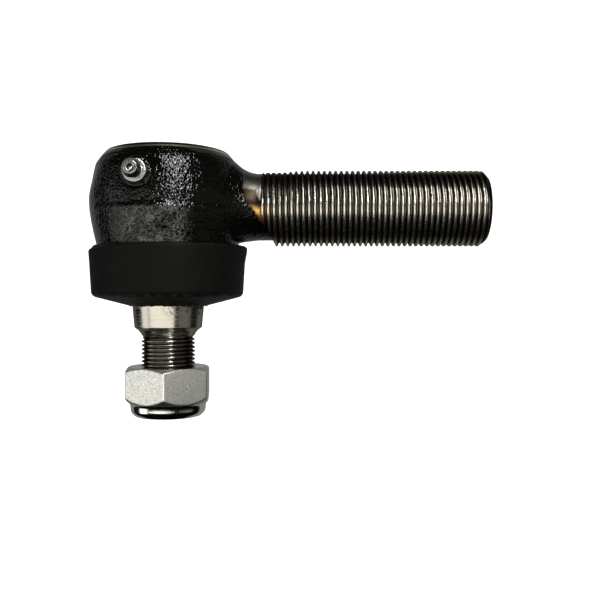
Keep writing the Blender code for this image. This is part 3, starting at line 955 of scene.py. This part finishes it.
class TIEROD_OT_fitting(bpy.types.Operator):
    """Build the grease fitting and the check ball in its tip"""

    bl_idname = "tierod.fitting"
    bl_label = "Grease Fitting"

    def execute(self, context):
        flats, ball_radius, mouth_radius, tip = 7.94, 1.4, 1.0, 37.4
        section = rounded([
            (mouth_radius, 37.45, 0.1), (mouth_radius, 38.35, 0.1), (1.3, 38.55, 0.1),
            (2.3, 38.55, 0.2), (3.2, 36.9, 0.35), (3.25, 36.2, 0.3), (2.35, 34.7, 0.4),
            (2.5, 32.75, 0.3), (3.9, 32.6, 0.2), (4.75, 31.9, 0.2), (4.75, 29.2, 0.15),
            (3.1, 29.2, 0.2), (3.1, 22.7, 0.3), (1.1, 22.7, 0.1), (1.1, 24.4, 0.1),
            (1.75, 24.4, 0.1), (1.75, 36.7, 0.1),
        ])
        grid = hexagonal(refined(section, 0.25), flats, 0.0, 192, 0.1)
        points, quads = shell_faces([(along_fitting(grid), True)])
        mat, replaced = fitting_finish(), ["grease_fitting_body"]
        add_piece("grease_nipple", points, quads, mat, "socket", replaced)
        polar = np.radians(np.linspace(0, 180, 24))
        centre = tip - math.sqrt(ball_radius**2 - mouth_radius**2) - 0.3
        section = np.column_stack([ball_radius * np.sin(polar), centre + ball_radius * np.cos(polar)])
        points, quads = shell_faces([(along_fitting(turned(section, 48)), False)])
        mat = plain_finish("valve_steel", (0.62, 0.62, 0.6), 1.0, (0.08, 0.2), 0.5, 0.005)
        replaced = ["grease_check_ball"]
        add_piece("check_ball", points, quads, mat, "check_valve", replaced)
        return {"FINISHED"}


class TIEROD_OT_cover(bpy.types.Operator):
    """Build the pressed end cover under the rolled rim"""

    bl_idname = "tierod.cover"
    bl_label = "End Cover"

    def execute(self, context):
        section = rounded([
            (0.0, 18.2, 0), (12.2, 18.2, 0.6), (14.2, 18.9, 0.8), (19.0, 18.9, 0.5),
            (22.6, 18.9, 0.3), (22.6, 17.2, 0.3), (0.0, 17.2, 0),
        ])
        grid = turned(refined(section, 0.7, closed=False), 200)
        points, quads = shell_faces([(grid, False)])
        mat = plain_finish("cover_steel", (0.32, 0.31, 0.28), 1.0, (0.25, 0.5), 3.0, 0.05)
        replaced = ["end_cover"]
        add_piece("pressed_end_cover", points, quads, mat, "socket", replaced)
        return {"FINISHED"}


# ---------------------------------------------------------------- springs and inner pieces


def coil_shell(radius, wire, low, high, turns, per_turn=48, around=12):
    """Round wire wound right-handed about Z from low to high, its two ends closed to a point:
    a circle about (radius cos a, radius sin a, low + wire + rise a)."""
    angle = TURN * np.arange(turns * per_turn + 1)[:, None] / per_turn
    thick = np.concatenate([[[0.0]], np.full((len(angle) - 2, 1), wire), [[0.0]]])
    psi = angles(around)[None, :]
    out = radius + thick * np.cos(psi)
    height = low + wire + (high - low - 2 * wire) * angle / angle[-1] + thick * np.sin(psi)
    return np.stack([out * np.cos(angle), out * np.sin(angle), height], axis=-1)


class TIEROD_OT_springs(bpy.types.Operator):
    """Build the two springs"""

    bl_idname = "tierod.springs"
    bl_label = "Springs"

    def execute(self, context):
        wire = plain_finish("spring_wire", (0.27, 0.27, 0.28), 1.0, (0.2, 0.4), 1.0, 0.02)
        coil = coil_shell(radius=19.2, wire=0.8, low=9.3, high=16.9, turns=3)
        points, quads = shell_faces([(coil, False)])
        replaced = ["preload_spring"]
        spring = add_piece("cup_spring", points, quads, wire, None, replaced)
        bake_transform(spring)
        low, high = (np.array(corner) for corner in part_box("grease_check_spring"))
        inner, outer = high[1], low[1]
        coil = coil_shell(1.2, 0.22, -inner / MM, -outer / MM, 6, per_turn=32, around=8)
        points, quads = shell_faces([(along_fitting(coil), False)])
        replaced = ["grease_check_spring"]
        spring = add_piece("valve_spring", points, quads, wire, None, replaced)
        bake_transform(spring)
        return {"FINISHED"}


class TIEROD_OT_inner(bpy.types.Operator):
    """Give the pieces inside the joint their finishes"""

    bl_idname = "tierod.inner"
    bl_label = "Inner Pieces"

    def execute(self, context):
        polymer = plain_finish("bearing_polymer", (0.66, 0.63, 0.52), 0.0, (0.35, 0.55), 2.0, 0.03)
        steel = plain_finish("ring_steel", (0.34, 0.34, 0.33), 1.0, (0.25, 0.45), 1.5, 0.02)
        rubber = plain_finish("seal_rubber", (0.02, 0.02, 0.02), 0.0, (0.55, 0.75), 0.8, 0.03)
        finishes = {
            "lower_ball_seat": polymer,
            "upper_ball_seat": polymer,
            "boot_retaining_ring": steel,
            "boot_lip_ring": steel,
            "cover_seal_ring": rubber,
        }
        for node, mat in finishes.items():
            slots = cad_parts[node].data.materials
            slots.clear()
            slots.append(mat)
        return {"FINISHED"}


# ---------------------------------------------------------------- stage


CAMERA_PLACE = (0.0499, -0.277, -0.0346)
CAMERA_LENS = 43.8
SENSOR_WIDTH = 36.0
FLOOR_Z = -0.30
LIT_POINT = (0.03, 0.0, -0.02)

# Name, place, width and height, power and colour of each light.
LIGHTS = (
    ("level_softbox", (-0.16, -0.75, -0.145), (1.33, 0.37), 3.6, (1.0, 0.98, 0.92)),
    ("strip_softbox", (0.46, -1.15, 0.90), (0.10, 1.24), 40.0, (1.0, 1.0, 1.0)),
    ("left_card", (-0.62, -0.20, -0.08), (0.32, 0.55), 1.05, (1.0, 1.0, 1.0)),
    ("right_card", (0.66, -0.30, 0.0), (0.60, 0.60), 0.30, (1.0, 0.97, 0.88)),
)


def area_light(name, place, extent, power, colour):
    """A rectangular soft light at a place, turned towards the object and hidden from the
    camera."""
    data = bpy.data.lights.new(name, "AREA")
    data.shape = "RECTANGLE"
    data.size, data.size_y = extent
    data.energy = power
    data.color = colour
    obj = bpy.data.objects.new(name, data)
    obj.location = place
    direction = Vector(LIT_POINT) - Vector(place)
    obj.rotation_euler = direction.to_track_quat("-Z", "Y").to_euler()
    obj.visible_camera = False
    bpy.context.scene.collection.objects.link(obj)


def sweep_floor():
    """A pale floor under and behind the object, curved up into a wall on a quarter circle.
    Shiny surfaces don't mirror it, so black pieces keep dark edges."""
    bend, back, front, wide, tall = 0.5, 0.9, 0.08, 3.0, 2.6
    turn = np.linspace(0, math.pi / 2, 24)
    depth = np.concatenate([[front], back + bend * np.sin(turn), [back + bend]])
    height = np.concatenate([[0.0], bend - bend * np.cos(turn), [tall]]) + FLOOR_Z
    across = np.array([-wide, wide])
    edges = np.broadcast_arrays(across[None, :], depth[:, None], height[:, None])
    points = np.stack(edges, axis=-1)
    index = np.arange(len(depth) * 2).reshape(-1, 2)
    quads = np.stack([index[:-1, 0], index[:-1, 1], index[1:, 1], index[1:, 0]], axis=-1)
    mesh = bpy.data.meshes.new("studio_sweep")
    mesh.from_pydata(points.reshape(-1, 3).tolist(), [], quads.tolist())
    mesh.shade_smooth()
    f = Finish("studio_white", (0.5, 0.5, 0.5), 0.0, 0.9, 0.1)
    f.shader.inputs["Emission Color"].default_value = (1.0, 1.0, 1.0, 1.0)
    f.shader.inputs["Emission Strength"].default_value = 0.95
    mesh.materials.append(f.mat)
    obj = bpy.data.objects.new("studio_sweep", mesh)
    bpy.context.scene.collection.objects.link(obj)
    obj.visible_glossy = False


def studio_world():
    """White to look at. As light, it is bright behind the object and dim in front and above."""
    world = bpy.data.worlds.new("studio_world")
    world.use_nodes = True
    tree = world.node_tree
    back = tree.nodes["Background"]
    back.inputs["Color"].default_value = (1.0, 1.0, 1.0, 1.0)
    place = tree.nodes.new("ShaderNodeTexCoord")
    split = tree.nodes.new("ShaderNodeSeparateXYZ")
    glow = tree.nodes.new("ShaderNodeMapRange")
    glow.interpolation_type = "SMOOTHSTEP"
    glow_range = {"From Min": 0.42, "From Max": 0.62, "To Min": 0.0008, "To Max": 0.3}
    for name, value in glow_range.items():
        glow.inputs[name].default_value = value
    seen = tree.nodes.new("ShaderNodeLightPath")
    most = tree.nodes.new("ShaderNodeMath")
    most.operation = "MAXIMUM"
    tree.links.new(place.outputs["Generated"], split.inputs["Vector"])
    tree.links.new(split.outputs["Y"], glow.inputs["Value"])
    tree.links.new(glow.outputs["Result"], most.inputs[0])
    tree.links.new(seen.outputs["Is Camera Ray"], most.inputs[1])
    tree.links.new(most.outputs[0], back.inputs["Strength"])
    bpy.context.scene.world = world


class TIEROD_OT_stage(bpy.types.Operator):
    """Set up the pale sweep, the soft studio lights and the camera"""

    bl_idname = "tierod.stage"
    bl_label = "Stage"

    def execute(self, context):
        sweep_floor()
        studio_world()
        for light in LIGHTS:
            area_light(*light)
        camera = bpy.data.cameras.new("camera")
        camera.lens = CAMERA_LENS
        camera.sensor_width = SENSOR_WIDTH
        camera.dof.use_dof = False
        obj = bpy.data.objects.new("camera", camera)
        obj.location = CAMERA_PLACE
        obj.rotation_euler = (math.pi / 2, 0.0, 0.0)
        context.scene.collection.objects.link(obj)
        bpy.context.scene.camera = obj
        context.scene.view_settings.view_transform = "Standard"
        return {"FINISHED"}


# ---------------------------------------------------------------- panel and run


OPERATORS = (
    TIEROD_OT_forging,
    TIEROD_OT_shank,
    TIEROD_OT_stud,
    TIEROD_OT_boot,
    TIEROD_OT_nut,
    TIEROD_OT_fitting,
    TIEROD_OT_cover,
    TIEROD_OT_springs,
    TIEROD_OT_inner,
    TIEROD_OT_stage,
)


class TIEROD_PT_panel(bpy.types.Panel):
    """Sizes, colours and build steps of the tie rod end"""

    bl_idname = "TIEROD_PT_panel"
    bl_label = "Tie Rod End"
    bl_space_type = "VIEW_3D"
    bl_region_type = "UI"
    bl_category = "Tie Rod End"

    def draw(self, context):
        for group in (context.scene.tie_rod_sizes, context.scene.tie_rod_colours):
            box = self.layout.box()
            for name in group.bl_rna.properties.keys():
                if name not in ("rna_type", "name"):
                    box.prop(group, name)
        for operator in OPERATORS:
            self.layout.operator(operator.bl_idname)


CLASSES = (TieRodSizes, TieRodColours, *OPERATORS, TIEROD_PT_panel)


def register():
    for cls in CLASSES:
        bpy.utils.register_class(cls)
    bpy.types.Scene.tie_rod_sizes = PointerProperty(type=TieRodSizes)
    bpy.types.Scene.tie_rod_colours = PointerProperty(type=TieRodColours)


def unregister():
    del bpy.types.Scene.tie_rod_colours
    del bpy.types.Scene.tie_rod_sizes
    for cls in reversed(CLASSES):
        bpy.utils.unregister_class(cls)


def main():
    """Registers the add-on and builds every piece."""
    register()
    for operator in OPERATORS:
        group, name = operator.bl_idname.split(".")
        if getattr(getattr(bpy.ops, group), name)() != {"FINISHED"}:
            raise RuntimeError(f"{operator.bl_idname} did not finish")


if __name__ == "__main__":
    main()
